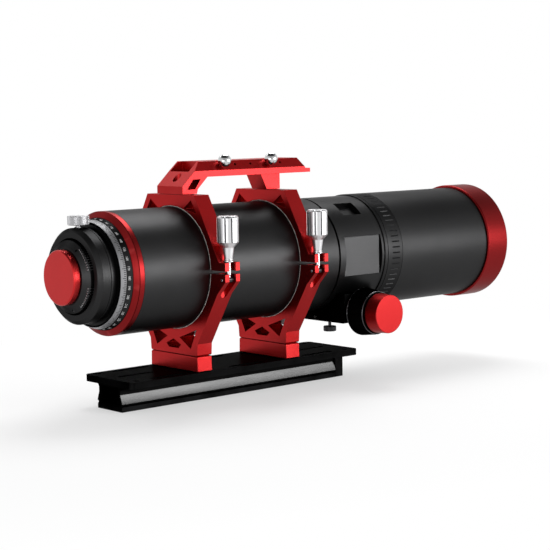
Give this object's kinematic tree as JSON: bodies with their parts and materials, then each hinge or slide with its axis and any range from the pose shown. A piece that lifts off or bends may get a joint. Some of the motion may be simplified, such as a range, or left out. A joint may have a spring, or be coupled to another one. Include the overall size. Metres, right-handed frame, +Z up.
{
  "type": "refractor telescope in tube rings",
  "caption": "Refractor telescope with rack focuser, sliding dew shield and camera rotator, held in hinged clamp rings on a dovetail plate with a carrying handle.",
  "frame": {"origin": "centre of the dovetail bar's bottom face", "axes": "+X along the tube towards the sky, +Z up, +Y to the rings' hinge side"},
  "size_m": [0.6061, 0.1962, 0.2594],
  "materials": {
    "plate_black": "satin black anodised, bare metal on the dovetail's slanted faces",
    "red_machined": "satin red anodised, milled",
    "red_turned": "satin red anodised, turned",
    "liner_felt": "thin pale felt lining",
    "bright_steel": "bright turned steel",
    "dark_steel": "black oxide steel",
    "silver_knob": "silver anodised",
    "chrome": "polished",
    "tube_black": "satin black anodised tube",
    "rotator_black": "satin black anodised, turned",
    "inner_black": "flat black inside",
    "coated_glass": "coated lens glass",
    "scale_grey": "graduated grey anodised",
    "tile_grey": "brushed grey",
    "focuser_black": "satin black anodised, milled",
    "brass": "machined brass"
  },
  "bodies": {
    "base": {"dovetail_plate": "plate_black", "dovetail_stop": "plate_black", "ring_riser_rear": "red_machined", "ring_riser_front": "red_machined", "ring_lower_rear": "red_machined", "ring_lower_front": "red_machined", "ring_liner_lower_rear": "liner_felt", "ring_liner_lower_front": "liner_felt", "ring_hinge_pin_rear": "bright_steel", "ring_hinge_pin_front": "bright_steel", "clamp_nut_rear": "dark_steel", "clamp_nut_front": "dark_steel", "main_tube": "tube_black", "rear_cell": "red_turned", "rotator_scale_ring": "scale_grey", "rear_lens_cell": "inner_black", "rear_lens_front": "coated_glass", "rear_lens_rear": "coated_glass", "rear_lens_retainer": "inner_black", "tube_baffle_rear": "inner_black", "tube_baffle_front": "inner_black", "focuser_housing": "tube_black", "cover_tile": "tile_grey", "focuser_block": "focuser_black", "shaft_bush_near": "brass", "shaft_bush_far": "brass", "objective_barrel": "tube_black"},
    "ring_lid": {"ring_upper_rear": "red_machined", "ring_upper_front": "red_machined", "ring_liner_upper_rear": "liner_felt", "ring_liner_upper_front": "liner_felt", "handle_bar": "red_machined", "handle_ball_rear": "chrome", "handle_ball_front": "chrome"},
    "clamp_rear": {"clamp_knob_rear": "silver_knob", "clamp_stud_rear": "bright_steel", "clamp_washer_rear": "bright_steel"},
    "clamp_front": {"clamp_knob_front": "silver_knob", "clamp_stud_front": "bright_steel", "clamp_washer_front": "bright_steel"},
    "camera_rotator": {"rotator_body": "rotator_black", "rotator_retaining_ring": "inner_black", "camera_adapter": "rotator_black"},
    "rotator_lock": {"rotator_lock_screw": "silver_knob"},
    "end_cap": {"rear_cap": "red_turned"},
    "lens_carriage": {"objective_cell": "inner_black", "focus_rack": "brass", "objective_lens_rear": "coated_glass", "objective_spacer": "inner_black", "objective_lens_front": "coated_glass", "objective_retainer": "inner_black"},
    "focus_shaft": {"pinion_shaft": "bright_steel", "coarse_knob_near": "focuser_black", "coarse_knob_far": "focuser_black"},
    "fine_focus": {"fine_knob": "red_turned"},
    "focus_lock": {"focus_lock_screw": "focuser_black"},
    "dew_shield": {"dew_shield_tube": "tube_black", "dew_shield_rim": "red_turned"},
    "dew_lock": {"dew_lock_ring": "tube_black"}
  },
  "joints": [
    {"name": "ring_lid_hinge", "type": "hinge", "parent": "base", "child": "ring_lid", "pos_m": [-0.0616, 0.083, 0.1406], "axis": [-1, 0, 0], "range_deg": [0, 75]},
    {"name": "clamp_turn_rear", "type": "hinge", "parent": "ring_lid", "child": "clamp_rear", "pos_m": [-0.0616, -0.0824, 0.151], "axis": [0, 0, 1], "range_deg": [0, 720]},
    {"name": "clamp_turn_front", "type": "hinge", "parent": "ring_lid", "child": "clamp_front", "pos_m": [0.0626, -0.0824, 0.151], "axis": [0, 0, 1], "range_deg": [0, 720]},
    {"name": "camera_rotation", "type": "hinge", "parent": "base", "child": "camera_rotator", "pos_m": [-0.198, 0, 0.1416], "axis": [1, 0, 0], "continuous": true},
    {"name": "rotator_lock_turn", "type": "hinge", "parent": "camera_rotator", "child": "rotator_lock", "pos_m": [-0.1882, 0, 0.1932], "axis": [0, 0, 1], "range_deg": [0, 720]},
    {"name": "cap_pull", "type": "slide", "parent": "camera_rotator", "child": "end_cap", "axis": [-1, 0, 0], "range_m": [0, 0.03]},
    {"name": "focus_travel", "type": "slide", "parent": "base", "child": "lens_carriage", "axis": [1, 0, 0], "range_m": [-0.01, 0.01]},
    {"name": "coarse_turn", "type": "hinge", "parent": "base", "child": "focus_shaft", "pos_m": [0.149, 0, 0.079], "axis": [0, 1, 0], "range_deg": [-72, 72]},
    {"name": "fine_turn", "type": "hinge", "parent": "base", "child": "fine_focus", "pos_m": [0.149, 0, 0.079], "axis": [0, 1, 0], "range_deg": [-718, 718]},
    {"name": "focus_lock_turn", "type": "hinge", "parent": "base", "child": "focus_lock", "pos_m": [0.134, -0.024, 0.0604], "axis": [0, 0, 1], "range_deg": [0, 720]},
    {"name": "dew_shield_slide", "type": "slide", "parent": "base", "child": "dew_shield", "axis": [1, 0, 0], "range_m": [0, 0.07]},
    {"name": "dew_lock_turn", "type": "hinge", "parent": "dew_shield", "child": "dew_lock", "pos_m": [0.1885, 0, 0.1416], "axis": [1, 0, 0], "range_deg": [0, 40]}
  ],
  "couplings": [
    {"joint": "coarse_turn", "follows": "focus_travel", "rad_per_m": 125},
    {"joint": "fine_turn", "follows": "focus_travel", "rad_per_m": 1250}
  ]
}
